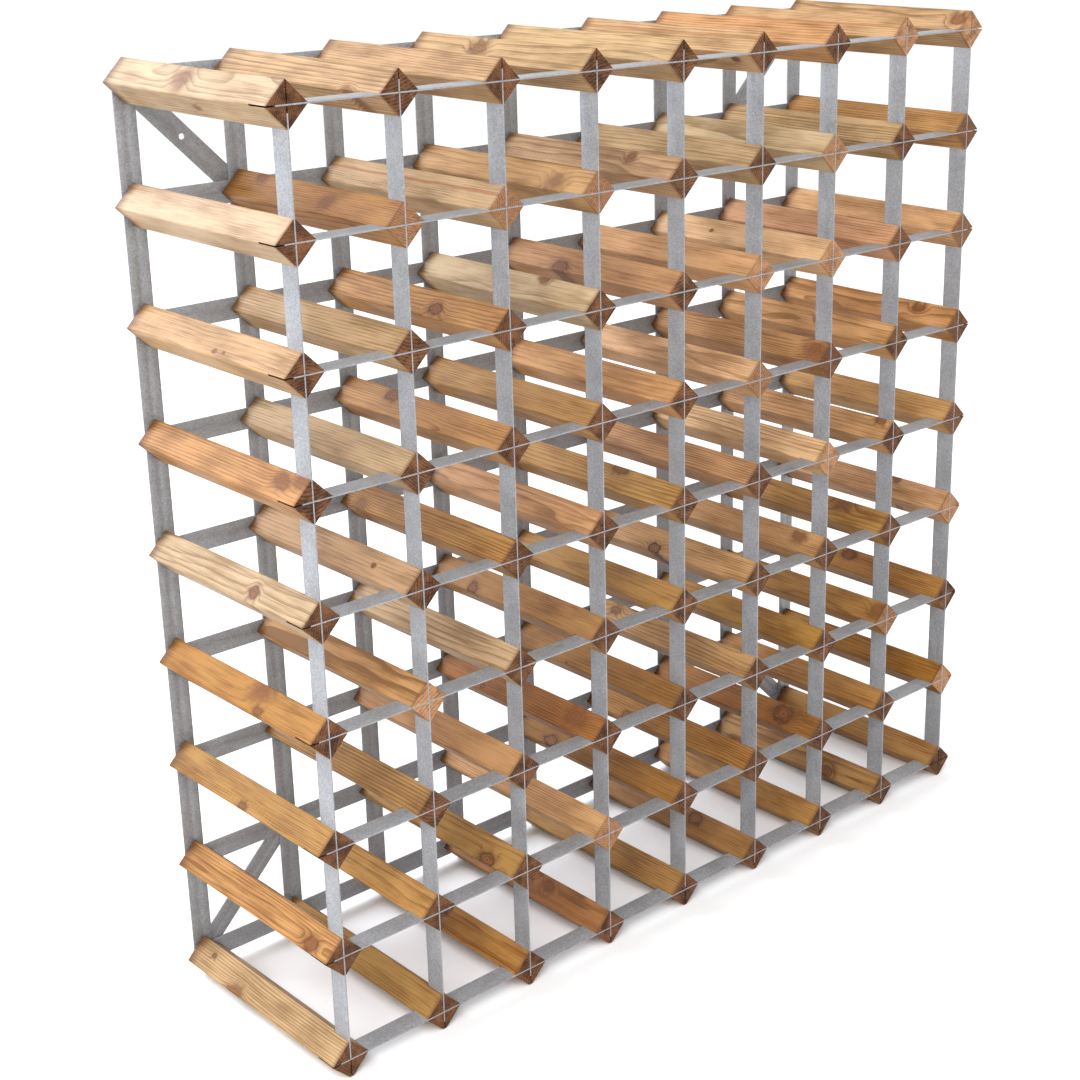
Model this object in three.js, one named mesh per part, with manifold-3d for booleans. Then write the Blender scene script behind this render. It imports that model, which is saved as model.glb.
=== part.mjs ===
// Free-standing wine rack: nine columns by nine rows of square softwood bars set on edge, held by
// flat galvanised steel strips. Millimetres, +X right, +Y back, +Z up. The front is at -Y, and the
// origin is the centre of the footprint on the floor.
import * as THREE from 'three';
import { mergeVertices } from 'three/addons/utils/BufferGeometryUtils.js';
import Module from 'manifold-3d';

// --- Driving dimensions -------------------------------------------------------------------------
const COLUMNS = 9;              // bars across
const ROWS = 9;                 // bars up
const PITCH = 98;               // bar to bar, both ways
const BAR_SIDE = 26;            // planed square section, turned 45 degrees
const BAR_LENGTH = 228;
const ARRIS = 1.0;              // width of the flat that eases each long edge
const FOOT = 3.0;               // width of the flat under the bottom bars
const STRIP = 1.2;              // strip thickness
const GAP = 0.3;                // working clearance between separate pieces
const FRONT_WIDTH = 20;         // front strips stand on edge in saw cuts
const SLOT_DEPTH = 21.5;        // saw cut depth from the front end of a bar
const FRONT_OVERHANG = 9.5;     // front strip past the outer bar centre lines
const REAR_WIDTH = 19;          // rear strips lie flat on the bars' rear ends
const REAR_OVERHANG = 8;
const BRACE_OVERHANG = 8.5;
const BRACE_HOLE_R = 2.5;       // wall-fixing hole at mid length of each corner brace
const NAIL_R = 1.3;
const NAIL_HEAD_R = 3.5;
const NAIL_HEAD = 1.0;
const NAIL_CLEARANCE_R = 1.7;   // hole in a strip that a nail passes through
const PUNCH_R = 1.2;            // small punched holes in three of the front rails
const PUNCHED = [               // where those holes are: the rail's row, x, and depth behind the front
  { row: 5, x: -48, y: 13 },
  { row: 6, x: -137, y: 10 },
  { row: 7, x: 239, y: 7 },
];
const NAIL_SIDES = 6;
const HOLE_SIDES = 12;
const PAST = 1;                 // how far a cutter runs past the face it cuts
const SUNK = 0.5;               // overlap of two shapes that make one solid

// --- Derived ------------------------------------------------------------------------------------
const SLOT = STRIP + 2 * GAP;
const LAP = FRONT_WIDTH / 2;    // half-lap depth where two front strips cross
const HALF_DIAGONAL = BAR_SIDE / Math.SQRT2;
const BASE_Z = HALF_DIAGONAL - FOOT / 2;                     // bottom row centre line above the floor
const REACH = HALF_DIAGONAL + PAST;
const LAYER = STRIP + GAP;
const RAIL_Y = BAR_LENGTH + GAP;                             // rear rails bear on the bar ends
const UPRIGHT_Y = RAIL_Y + LAYER;                            // rear uprights over the rails
const BRACE_Y = UPRIGHT_Y + LAYER;                           // corner braces over the uprights
const BRACED_HEAD_Y = BRACE_Y + LAYER;                       // nail heads over the braces
const DEPTH = BRACED_HEAD_Y + NAIL_HEAD;
const SPAN = (COLUMNS - 1) * PITCH;
const RISE = (ROWS - 1) * PITCH;

const columnX = (column) => (column - (COLUMNS + 1) / 2) * PITCH;
const rowZ = (row) => (ROWS - row) * PITCH;

// --- Materials ----------------------------------------------------------------------------------
const wood = () => new THREE.MeshStandardMaterial({ color: 0xb98a5a, roughness: 0.62, metalness: 0 });
const galvanised = () => new THREE.MeshStandardMaterial({
  color: 0xa3a1a1, roughness: 0.45, metalness: 0.85,
});

// --- Solids -------------------------------------------------------------------------------------
const wasm = await Module();
wasm.setup();

function solidFrom(geometry) {
  const bare = geometry.clone();
  bare.deleteAttribute('normal');
  bare.deleteAttribute('uv');
  const merged = mergeVertices(bare, 1e-4);
  return new wasm.Manifold(new wasm.Mesh({
    numProp: 3,
    vertProperties: Float32Array.from(merged.attributes.position.array),
    triVerts: Uint32Array.from(merged.index.array),
  }));
}

function geometryFrom(solid) {
  const { vertProperties, triVerts } = solid.getMesh();
  const geometry = new THREE.BufferGeometry();
  geometry.setAttribute('position', new THREE.BufferAttribute(vertProperties, 3));
  geometry.setIndex(new THREE.BufferAttribute(triVerts, 1));
  const flat = geometry.toNonIndexed();
  flat.computeVertexNormals();
  return flat;
}

// Box between two corners.
function block(x0, x1, y0, y1, z0, z1) {
  const geometry = new THREE.BoxGeometry(x1 - x0, y1 - y0, z1 - z0);
  geometry.translate((x0 + x1) / 2, (y0 + y1) / 2, (z0 + z1) / 2);
  return solidFrom(geometry);
}

// Cylinder along Y from y0 to y1.
function rod(x, z, radius, y0, y1, sides) {
  const geometry = new THREE.CylinderGeometry(radius, radius, y1 - y0, sides);
  geometry.translate(x, (y0 + y1) / 2, z);
  return solidFrom(geometry);
}

// Cylinder along Z from z0 to z1.
function post(x, y, radius, z0, z1, sides) {
  const geometry = new THREE.CylinderGeometry(radius, radius, z1 - z0, sides);
  geometry.rotateX(Math.PI / 2);
  geometry.translate(x, y, (z0 + z1) / 2);
  return solidFrom(geometry);
}

// Square section on edge with eased arrises; the foot flat widens the one underneath.
function barBlank(z, foot) {
  const side = HALF_DIAGONAL;
  const ease = ARRIS / 2;
  const under = foot / 2;
  const section = new THREE.Shape([
    new THREE.Vector2(side - ease, -ease),
    new THREE.Vector2(side - ease, ease),
    new THREE.Vector2(ease, side - ease),
    new THREE.Vector2(-ease, side - ease),
    new THREE.Vector2(-side + ease, ease),
    new THREE.Vector2(-side + ease, -ease),
    new THREE.Vector2(-under, -side + under),
    new THREE.Vector2(under, -side + under),
  ]);
  const geometry = new THREE.ExtrudeGeometry(section, { depth: BAR_LENGTH, bevelEnabled: false });
  geometry.rotateX(Math.PI / 2);
  geometry.translate(0, BAR_LENGTH, z);
  return solidFrom(geometry);
}

const footOf = (row) => (row === ROWS ? FOOT : ARRIS);

// The bars at the two ends of each corner brace.
function isBraced(column, row) {
  const fromSide = Math.min(column, COLUMNS + 1 - column);
  const fromEnd = Math.min(row, ROWS + 1 - row);
  return fromSide === fromEnd && fromSide <= 2;
}

// Clout nail standing out of a bar's rear end, with its head from headY on.
function nail(z, headY, thickness) {
  return rod(0, z, NAIL_R, BAR_LENGTH - SUNK, headY + SUNK, NAIL_SIDES)
    .add(rod(0, z, NAIL_HEAD_R, headY, headY + thickness, NAIL_SIDES));
}

// Saw cuts in a bar's front end: across for the rail, and upright for the front upright.
const railCut = (z) => block(-REACH, REACH, -PAST, SLOT_DEPTH, z - SLOT / 2, z + SLOT / 2);
const uprightCut = () => block(-SLOT / 2, SLOT / 2, -PAST, SLOT_DEPTH, -REACH, REACH);

// Bar of an end column: crossed saw cuts in the front end, and its nail behind.
function endBar(column, row) {
  const headY = isBraced(column, row) ? BRACED_HEAD_Y : BRACE_Y;
  return barBlank(0, footOf(row))
    .subtract(uprightCut())
    .subtract(railCut(0))
    .add(nail(0, headY, NAIL_HEAD));
}

// Front upright on edge, half-lapped from its front edge at every rail.
function frontUpright() {
  let strip = block(-STRIP / 2, STRIP / 2, 0, FRONT_WIDTH, -FRONT_OVERHANG, RISE + FRONT_OVERHANG);
  for (let row = 1; row <= ROWS; row += 1) {
    const z = rowZ(row);
    strip = strip.subtract(block(-STRIP, STRIP, -PAST, LAP + GAP / 2, z - SLOT / 2, z + SLOT / 2));
  }
  return strip;
}

// Front rail on edge, half-lapped from its rear edge at every upright.
function frontRail(row) {
  const end = SPAN / 2 + FRONT_OVERHANG;
  let strip = block(-end, end, 0, FRONT_WIDTH, -STRIP / 2, STRIP / 2);
  for (let column = 1; column <= COLUMNS; column += 1) {
    const x = columnX(column);
    const behind = LAP - GAP / 2;
    strip = strip.subtract(block(x - SLOT / 2, x + SLOT / 2, behind, FRONT_WIDTH + PAST, -STRIP, STRIP));
  }
  for (const hole of PUNCHED.filter((each) => each.row === row)) {
    strip = strip.subtract(post(hole.x, hole.y, PUNCH_R, -STRIP, STRIP, NAIL_SIDES));
  }
  return strip;
}

// Rear upright lying flat behind the rear rails; solid where the nails are one with it.
function rearUpright(drilled) {
  const half = REAR_WIDTH / 2;
  let strip = block(-half, half, UPRIGHT_Y, UPRIGHT_Y + STRIP, -REAR_OVERHANG, RISE + REAR_OVERHANG);
  if (drilled) {
    for (let row = 1; row <= ROWS; row += 1) {
      strip = strip.subtract(rod(0, rowZ(row), NAIL_CLEARANCE_R, UPRIGHT_Y - PAST, BRACE_Y, NAIL_SIDES));
    }
  }
  return strip;
}

// Rear rail lying flat on the bars' rear ends, drilled for every nail.
function rearRail() {
  const half = REAR_WIDTH / 2;
  const end = SPAN / 2 + REAR_OVERHANG;
  let strip = block(-end, end, RAIL_Y, RAIL_Y + STRIP, -half, half);
  for (let column = 1; column <= COLUMNS; column += 1) {
    strip = strip.subtract(rod(columnX(column), 0, NAIL_CLEARANCE_R, RAIL_Y - PAST, UPRIGHT_Y, NAIL_SIDES));
  }
  return strip;
}

// Corner brace across one cell, modelled along X about its middle.
function brace() {
  const reach = PITCH / Math.SQRT2;
  const half = REAR_WIDTH / 2;
  const end = reach + BRACE_OVERHANG;
  return block(-end, end, BRACE_Y, BRACE_Y + STRIP, -half, half)
    .subtract(rod(-reach, 0, NAIL_CLEARANCE_R, BRACE_Y - PAST, BRACED_HEAD_Y, NAIL_SIDES))
    .subtract(rod(reach, 0, NAIL_CLEARANCE_R, BRACE_Y - PAST, BRACED_HEAD_Y, NAIL_SIDES))
    .subtract(rod(0, 0, BRACE_HOLE_R, BRACE_Y - PAST, BRACED_HEAD_Y, HOLE_SIDES));
}

// Inner column: nine bars with their nails and both uprights as one solid, with the rail cuts open.
function ladder(column) {
  let solid = rearUpright(false);
  for (let row = 1; row <= ROWS; row += 1) {
    const z = rowZ(row);
    const fixing = isBraced(column, row)
      ? nail(z, BRACED_HEAD_Y, NAIL_HEAD)
      : nail(z, UPRIGHT_Y + STRIP - SUNK, NAIL_HEAD + SUNK);
    solid = solid.add(barBlank(z, footOf(row)).subtract(railCut(z))).add(fixing);
  }
  return solid.add(frontUpright());
}

// --- Assembly -----------------------------------------------------------------------------------
const rack = new THREE.Group();
rack.name = 'wine_rack';
rack.position.set(0, -DEPTH / 2, BASE_Z);

function place(name, solid, material, x, z, turn = 0) {
  const mesh = new THREE.Mesh(geometryFrom(solid), material);
  mesh.name = name;
  mesh.position.set(x, 0, z);
  mesh.rotation.y = turn;
  rack.add(mesh);
}

for (const column of [1, COLUMNS]) {
  for (let row = 1; row <= ROWS; row += 1) {
    place(`bar_c${column}_r${row}`, endBar(column, row), wood(), columnX(column), rowZ(row));
  }
  place(`upright_front_c${column}`, frontUpright(), galvanised(), columnX(column), 0);
  place(`upright_rear_c${column}`, rearUpright(true), galvanised(), columnX(column), 0);
}
for (let column = 2; column < COLUMNS; column += 1) {
  place(`ladder_c${column}`, ladder(column), wood(), columnX(column), 0);
}
for (let row = 1; row <= ROWS; row += 1) {
  place(`rail_front_r${row}`, frontRail(row), galvanised(), 0, rowZ(row));
  place(`rail_rear_r${row}`, rearRail(), galvanised(), 0, rowZ(row));
}

// Each brace joins a corner bar to its diagonal neighbour.
const innerX = SPAN / 2 - PITCH / 2;
const innerZ = RISE - PITCH / 2;
place('brace_top_left', brace(), galvanised(), -innerX, innerZ, Math.PI / 4);
place('brace_top_right', brace(), galvanised(), innerX, innerZ, -Math.PI / 4);
place('brace_bottom_left', brace(), galvanised(), -innerX, PITCH / 2, -Math.PI / 4);
place('brace_bottom_right', brace(), galvanised(), innerX, PITCH / 2, Math.PI / 4);

rack.updateMatrixWorld(true);
export default rack;
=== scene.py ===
"""Free-standing wine rack: 81 square softwood bars set on edge, held in a square grid by galvanised strips.

Metres, +X right, +Y back, +Z up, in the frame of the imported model. The front is at -Y. Columns are
counted from the left and rows from the top, as seen from the front.
"""
import logging
import math
import random
from dataclasses import dataclass, field
from enum import Enum

import bmesh
import bpy
from mathutils import Matrix, Vector, noise


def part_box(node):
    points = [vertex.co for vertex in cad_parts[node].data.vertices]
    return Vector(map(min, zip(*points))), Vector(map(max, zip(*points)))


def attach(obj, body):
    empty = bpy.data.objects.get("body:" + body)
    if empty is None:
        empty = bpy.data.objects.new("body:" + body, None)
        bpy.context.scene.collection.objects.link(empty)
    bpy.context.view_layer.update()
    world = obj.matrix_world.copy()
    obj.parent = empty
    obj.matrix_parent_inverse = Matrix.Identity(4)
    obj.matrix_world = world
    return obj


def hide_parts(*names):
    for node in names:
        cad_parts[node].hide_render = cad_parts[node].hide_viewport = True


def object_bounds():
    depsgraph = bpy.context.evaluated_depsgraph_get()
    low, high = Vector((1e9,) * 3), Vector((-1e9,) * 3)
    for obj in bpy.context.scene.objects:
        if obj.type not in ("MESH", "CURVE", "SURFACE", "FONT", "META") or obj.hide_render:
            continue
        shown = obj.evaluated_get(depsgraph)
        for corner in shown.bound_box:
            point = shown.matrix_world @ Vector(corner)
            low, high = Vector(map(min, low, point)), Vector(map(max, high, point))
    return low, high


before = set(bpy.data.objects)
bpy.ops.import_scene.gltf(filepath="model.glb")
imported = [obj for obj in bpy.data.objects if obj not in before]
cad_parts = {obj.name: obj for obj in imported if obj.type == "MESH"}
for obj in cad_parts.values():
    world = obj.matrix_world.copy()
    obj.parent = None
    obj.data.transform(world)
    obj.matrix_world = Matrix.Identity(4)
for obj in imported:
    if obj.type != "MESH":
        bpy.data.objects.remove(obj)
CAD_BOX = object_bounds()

log = logging.getLogger("wine_rack")

MM = 0.001
COLUMNS = 9
ROWS = 9
ROOT = "root"

Colour = tuple[float, float, float]
Point = tuple[float, float]

WHITE: Colour = (1.0, 1.0, 1.0)


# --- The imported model's grid ---
@dataclass(frozen=True)
class Grid:
    """Centre lines and layers of the rack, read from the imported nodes' boxes."""

    columns: tuple[float, ...]
    rows: tuple[float, ...]
    front: float
    rail_layer: tuple[float, float]
    upright_layer: tuple[float, float]
    brace_layer: tuple[float, float]

    @classmethod
    def measured(cls) -> "Grid":
        """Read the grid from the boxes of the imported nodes.

        Returns:
            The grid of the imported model.
        """
        columns = []
        for column in range(1, COLUMNS + 1):
            low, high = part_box(packed_node(f"upright_rear_c{column}", column))
            columns.append((low.x + high.x) / 2)
        rows = []
        for row in range(1, ROWS + 1):
            low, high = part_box(f"rail_front_r{row}")
            rows.append((low.z + high.z) / 2)
        rail = [corner.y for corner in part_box("rail_rear_r1")]
        upright = [corner.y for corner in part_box("upright_rear_c1")]
        brace = [corner.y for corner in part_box("brace_top_left")]
        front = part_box("rail_front_r1")[0].y
        return cls(tuple(columns), tuple(rows), front, tuple(rail), tuple(upright), tuple(brace))

    def x(self, column: int) -> float:
        """Give a column's centre line."""
        return self.columns[column - 1]

    def z(self, row: int) -> float:
        """Give a row's centre line."""
        return self.rows[row - 1]

    @property
    def pitch(self) -> float:
        """Give the distance from bar to bar."""
        return self.columns[1] - self.columns[0]


def packed_node(name: str, column: int) -> str:
    """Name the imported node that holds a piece: its own in an end column, else the column's ladder."""
    return name if column in (1, COLUMNS) else f"ladder_c{column}"


# --- Shader kit ---
Operand = "Socket | float"


class Socket:
    """An output socket whose arithmetic adds Math nodes."""

    def __init__(self, finish: "Finish", link: bpy.types.NodeSocket) -> None:
        """Keep the socket and the finish whose tree it is in."""
        self.finish = finish
        self.link = link

    def math(self, operation: str, *operands: Operand) -> "Socket":
        """Add one Math node with this operation and these inputs, in order."""
        return self.finish.node("ShaderNodeMath", {"operation": operation}, dict(enumerate(operands)))

    def __add__(self, other: Operand) -> "Socket":
        """Add."""
        return self.math("ADD", self, other)

    def __radd__(self, other: float) -> "Socket":
        """Add to a number."""
        return self.math("ADD", other, self)

    def __sub__(self, other: Operand) -> "Socket":
        """Subtract."""
        return self.math("SUBTRACT", self, other)

    def __rsub__(self, other: float) -> "Socket":
        """Subtract from a number."""
        return self.math("SUBTRACT", other, self)

    def __mul__(self, other: Operand) -> "Socket":
        """Multiply."""
        return self.math("MULTIPLY", self, other)

    def __rmul__(self, other: float) -> "Socket":
        """Multiply a number."""
        return self.math("MULTIPLY", other, self)

    def __truediv__(self, other: Operand) -> "Socket":
        """Divide."""
        return self.math("DIVIDE", self, other)

    def __pow__(self, other: Operand) -> "Socket":
        """Raise to a power."""
        return self.math("POWER", self, other)

    def __abs__(self) -> "Socket":
        """Drop the sign."""
        return self.math("ABSOLUTE", self)

    def clamped(self) -> "Socket":
        """Keep between 0 and 1."""
        return self.finish.node("ShaderNodeClamp", sockets={0: self})

    def fraction(self) -> "Socket":
        """Give the part after the point."""
        return self.math("FRACT", self)

    def sine(self) -> "Socket":
        """Give the sine."""
        return self.math("SINE", self)

    def rise(self, start: Operand, end: Operand) -> "Socket":
        """Climb smoothly from 0 at start to 1 at end."""
        sockets = {"Value": self, "From Min": start, "From Max": end}
        return self.finish.node("ShaderNodeMapRange", {"interpolation_type": "SMOOTHSTEP"}, sockets)

    def fall(self, start: Operand, end: Operand) -> "Socket":
        """Drop smoothly from 1 at start to 0 at end."""
        return 1 - self.rise(start, end)

    def vector(self, operation: str, *operands: "Socket | tuple", out: str = "Vector") -> "Socket":
        """Add one Vector Math node on this vector and the other operands, and read an output."""
        inputs = dict(enumerate((self, *operands)))
        return self.finish.node("ShaderNodeVectorMath", {"operation": operation}, inputs, out)

    def scaled(self, factor: Operand) -> "Socket":
        """Scale this vector."""
        sockets = {0: self, "Scale": factor}
        return self.finish.node("ShaderNodeVectorMath", {"operation": "SCALE"}, sockets, "Vector")


class Finish:
    """A material whose node tree is built by expressions."""

    def __init__(self, name: str) -> None:
        """Start an empty tree with a Principled shader.

        Args:
            name: The material's name.
        """
        self.material = bpy.data.materials.new(name)
        self.material.use_nodes = True
        self.tree = self.material.node_tree
        self.tree.nodes.clear()
        self.shader = self.tree.nodes.new("ShaderNodeBsdfPrincipled")
        output = self.tree.nodes.new("ShaderNodeOutputMaterial")
        self.tree.links.new(self.shader.outputs["BSDF"], output.inputs["Surface"])

    def node(
        self,
        kind: str,
        settings: dict[str, object] | None = None,
        sockets: dict[int | str, object] | None = None,
        out: int | str = 0,
    ) -> Socket:
        """Add one node.

        Args:
            kind: The node's type.
            settings: The node's own settings, set first.
            sockets: The value or link of each input, by name or number.
            out: The output to read, by name or number.

        Returns:
            The output asked for.
        """
        made = self.tree.nodes.new(kind)
        for key, value in (settings or {}).items():
            setattr(made, key, value)
        for key, value in (sockets or {}).items():
            self._feed(made.inputs[key], value)
        return Socket(self, made.outputs[out])

    def _feed(self, target: bpy.types.NodeSocket, value: object) -> None:
        """Link a socket, or set its value."""
        if isinstance(value, Socket):
            self.tree.links.new(value.link, target)
        elif target.type == "RGBA":
            target.default_value = (*value, 1.0)
        else:
            target.default_value = value

    def dress(self, **sockets: object) -> None:
        """Set or link the shader's sockets, named with _ for a space."""
        for name, value in sockets.items():
            self._feed(self.shader.inputs[name.replace("_", " ")], value)

    def trait(self, name: str, out: str = "Fac") -> Socket:
        """Read one of the piece's own properties."""
        settings = {"attribute_type": "OBJECT", "attribute_name": name}
        return self.node("ShaderNodeAttribute", settings, out=out)

    def place(self) -> Socket:
        """Give the place in the piece's own axes."""
        return self.node("ShaderNodeTexCoord", out="Object")

    def joined(self, x: Operand, y: Operand, z: Operand) -> Socket:
        """Make a vector of three values."""
        return self.node("ShaderNodeCombineXYZ", sockets={0: x, 1: y, 2: z})

    def parts(self, vector: Socket) -> tuple[Socket, Socket, Socket]:
        """Split a vector into its three components."""
        split = self.node("ShaderNodeSeparateXYZ", sockets={0: vector})
        outputs = split.link.node.outputs
        return Socket(self, outputs[0]), Socket(self, outputs[1]), Socket(self, outputs[2])

    def grain(self, place: Socket, scale: float, detail: float = 2.0, w: Operand = 0.0) -> Socket:
        """Give a noise of about 0 to 1, with this many features per metre and w for its seed."""
        sockets = {"Vector": place, "Scale": scale, "Detail": detail, "W": w}
        return self.node("ShaderNodeTexNoise", {"noise_dimensions": "4D"}, sockets)

    def blend(self, factor: Operand, one: object, other: object) -> Socket:
        """Mix two colours, with a factor of 1 for all of the other."""
        return self.node("ShaderNodeMix", {"data_type": "RGBA"}, {0: factor, 6: one, 7: other}, 2)

    def bump(self, height: Socket, distance: float, strength: float) -> Socket:
        """Turn a height, in parts of a distance, into a normal."""
        sockets = {"Height": height, "Distance": distance, "Strength": strength}
        return self.node("ShaderNodeBump", sockets=sockets, out="Normal")


# --- Finishes ---
class Tone(Enum):
    """Tones of the bars: the pale and the dark colour of the grain. Partly the wood's own stain, and the
    darker ones, given mostly to the lower rows, partly painted shade.
    """

    CREAM = ((0.45, 0.33, 0.199), (0.227, 0.140, 0.066))
    STRAW = ((0.61, 0.37, 0.193), (0.276, 0.147, 0.058))
    HONEY = ((0.50, 0.27, 0.124), (0.226, 0.108, 0.037))
    ROSE = ((0.41, 0.26, 0.132), (0.183, 0.102, 0.041))
    TAN = ((0.41, 0.22, 0.081), (0.185, 0.084, 0.024))
    BROWN = ((0.33, 0.17, 0.046), (0.152, 0.061, 0.014))
    UMBER = ((0.28, 0.12, 0.030), (0.127, 0.051, 0.010))


class GrowthRings:
    """Growth rings, knots and fibres of a sawn bar, in the bar's own axes."""

    RING_SHARPNESS = 2.6
    RING_END = 0.93
    WANDER = 11 * MM
    KNOT_REACH = 2.6
    KNOT_SQUEEZE = 0.72
    KNOT_RINGS = 1.8
    NO_KNOT = 1e-6

    def __init__(self, finish: Finish) -> None:
        """Add the nodes that every cut of the bar shares.

        Args:
            finish: The finish that they go in.
        """
        self.finish = finish
        self.place = finish.place()
        self.seed = finish.trait("log_seed")
        self.knots = [self._knot("a"), self._knot("b")]
        self.rings = self._rings()

    def _knot(self, letter: str) -> Socket:
        """Give how many knot radii a point is from a knot's axis.

        Args:
            letter: Which of the bar's knots.

        Returns:
            The distance in radii, very large where the bar has no such knot.
        """
        centre = self.finish.trait(f"knot_{letter}_place", "Vector")
        axis = self.finish.trait(f"knot_{letter}_axis", "Vector")
        radius = self.finish.trait(f"knot_{letter}_radius")
        away = self.place.vector("SUBTRACT", centre).vector("MULTIPLY", (1.0, self.KNOT_SQUEEZE, 1.0))
        along = away.vector("DOT_PRODUCT", axis, out="Value")
        across = away.vector("SUBTRACT", axis.scaled(along)).vector("LENGTH", out="Value")
        return across / (radius + self.NO_KNOT)

    def _rings(self) -> Socket:
        """Give the growth-ring phase, which climbs by 1 a ring.

        Returns:
            The phase.
        """
        wander = self.drawn_out(0.22, 26.0, 2.0) - 0.5
        pith = self.finish.trait("pith", "Vector")
        x, _, z = self.finish.parts(self.place.vector("SUBTRACT", pith))
        radius = (x * x + z * z) ** 0.5
        phase = (radius + wander * self.WANDER) / self.finish.trait("ring_width")
        for knot in self.knots:
            phase = phase + knot.fall(0.0, self.KNOT_REACH) * self.KNOT_RINGS
        return phase

    def drawn_out(self, share: float, scale: float, detail: float, shift: float = 0.0) -> Socket:
        """Give a noise drawn out along the bar, where it has this share of its scale."""
        stretched = self.place.vector("MULTIPLY", (1.0, share, 1.0))
        return self.finish.grain(stretched, scale, detail, self.seed + shift)

    def late_wood(self) -> Socket:
        """Give the dark late wood, which rises slowly and ends sharply in each ring."""
        turn = self.rings.fraction()
        return (turn ** self.RING_SHARPNESS) * turn.fall(self.RING_END, 1.0)

    def fibres(self) -> Socket:
        """Give the fine fibres along the bar."""
        return self.drawn_out(0.018, 1500.0, 3.0)

    def blotches(self) -> Socket:
        """Give the slow patches where the stain took more or less."""
        return self.drawn_out(0.35, 55.0, 3.0, 7.3)


@dataclass(frozen=True)
class PineFaces:
    """Stained softwood on the four long faces of a bar."""

    tone: Tone
    knot_heart: Colour = (0.24, 0.085, 0.030)
    knot_bark: Colour = (0.030, 0.011, 0.005)
    swirl: Colour = (0.13, 0.048, 0.014)
    # Colour of the darker ends: soaked-in stain, and at the rear end also painted shade next to the rear
    # strips
    end_stain_and_shade: Colour = (0.10, 0.042, 0.017)
    streak: Colour = (0.25, 0.095, 0.036)
    streak_reach: float = 2.2 * MM
    dent_row: float = 6 * MM
    dent_pitch: float = 5.5 * MM
    # Width of the rear band, which is painted shade where the bar meets the rear strips as well as stain;
    # the front band is stain
    rear_stain_and_shade: float = 15 * MM
    front_stain: float = 4 * MM
    relief: float = 0.25 * MM
    roughness: float = 0.45
    sheen: float = 0.07

    def build(self) -> bpy.types.Material:
        """Build the material.

        Returns:
            The finished material.
        """
        finish = Finish(f"pine_{self.tone.name.lower()}")
        wood = GrowthRings(finish)
        late = wood.late_wood() * finish.trait("ring_contrast")
        fibres = wood.fibres()
        depth = late * 1.05 + (fibres - 0.5) * 2.3 + (wood.blotches() - 0.5) * 2.3 + 0.24
        colour = finish.blend(depth.clamped(), *self.tone.value)
        colour = self._with_streak(wood, colour)
        colour = self._with_knots(wood, colour, fibres)
        colour = self._with_end_stain_and_shade(wood, colour, fibres)
        colour = self._with_own_shade(finish, colour)
        height = late * 0.5 + fibres * 0.6 - self._dents(wood) * 2.0
        finish.dress(Base_Color=colour, Normal=finish.bump(height, self.relief, 0.6))
        finish.dress(Roughness=self.roughness, Specular_IOR_Level=self.sheen)
        return finish.material

    def _dents(self, wood: GrowthRings) -> Socket:
        """Give the rows of dents that the planer's feed rollers left on a few bars.

        Args:
            wood: The bar's grain.

        Returns:
            The dents, 1 at their deepest.
        """
        finish = wood.finish
        _, along, _ = finish.parts(wood.place)
        across = wood.place.vector("DOT_PRODUCT", finish.trait("streak_side", "Vector"), out="Value")
        row = abs(across + self.dent_row).fall(2.0 * MM, 4.5 * MM)
        runs = finish.grain(finish.joined(0.0, along, 0.0), 14.0, 0.0, wood.seed).rise(0.42, 0.5)
        wave = ((along * (math.tau / self.dent_pitch)).sine() * 0.5 + 0.5) ** 2.0
        return wave * row * runs * finish.trait("dents")

    def _with_streak(self, wood: GrowthRings, colour: Socket) -> Socket:
        """Add the reddish heartwood streak that a few bars have.

        Args:
            wood: The bar's grain.
            colour: The colour so far.

        Returns:
            The colour with the streak.
        """
        finish = wood.finish
        across = wood.place.vector("DOT_PRODUCT", finish.trait("streak_side", "Vector"), out="Value")
        waver = wood.drawn_out(0.2, 160.0, 3.0, 2.1) - 0.5
        offset = across - finish.trait("streak_place") + waver * 0.006
        band = abs(offset).fall(0.3 * MM, self.streak_reach) * finish.trait("streak_strength")
        return finish.blend(band, colour, self.streak)

    def _with_knots(self, wood: GrowthRings, colour: Socket, fibres: Socket) -> Socket:
        """Add the knots: a darker swirl round each, its heart and its bark ring.

        Args:
            wood: The bar's grain.
            colour: The colour so far.
            fibres: The fine fibres.

        Returns:
            The colour with the knots.
        """
        finish = wood.finish
        patches = finish.grain(wood.place, 160.0, 2.0, wood.seed + 5.0)
        for letter, knot in zip("ab", wood.knots):
            strength = finish.trait(f"knot_{letter}_bark")
            ragged = knot + (fibres - 0.5) * 1.1 + (patches - 0.5) * 1.6
            colour = finish.blend(ragged.fall(0.3, 2.3) * 0.75, colour, self.swirl)
            rings = (knot * 15.0).sine() * 0.35 + 0.35
            heart = finish.blend(rings, self.knot_heart, self.knot_bark)
            colour = finish.blend(ragged.fall(0.7, 1.05) * (strength * 0.7 + 0.1), colour, heart)
            bark = ragged.rise(0.6, 0.95) * ragged.fall(0.95, 1.35) * (fibres + 0.4).clamped()
            colour = finish.blend(bark * strength, colour, self.knot_bark)
        return colour

    def _with_end_stain_and_shade(self, wood: GrowthRings, colour: Socket, fibres: Socket) -> Socket:
        """Darken the wood towards both ends: stain soaked in there, and the wide band at the rear end is
        also painted shade where the bars meet the rear strips.

        Args:
            wood: The bar's grain.
            colour: The colour so far.
            fibres: The fine fibres.

        Returns:
            The colour with the darker ends.
        """
        finish = wood.finish
        _, along, _ = finish.parts(wood.place)
        ragged = along + (fibres - 0.5) * 0.006
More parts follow.
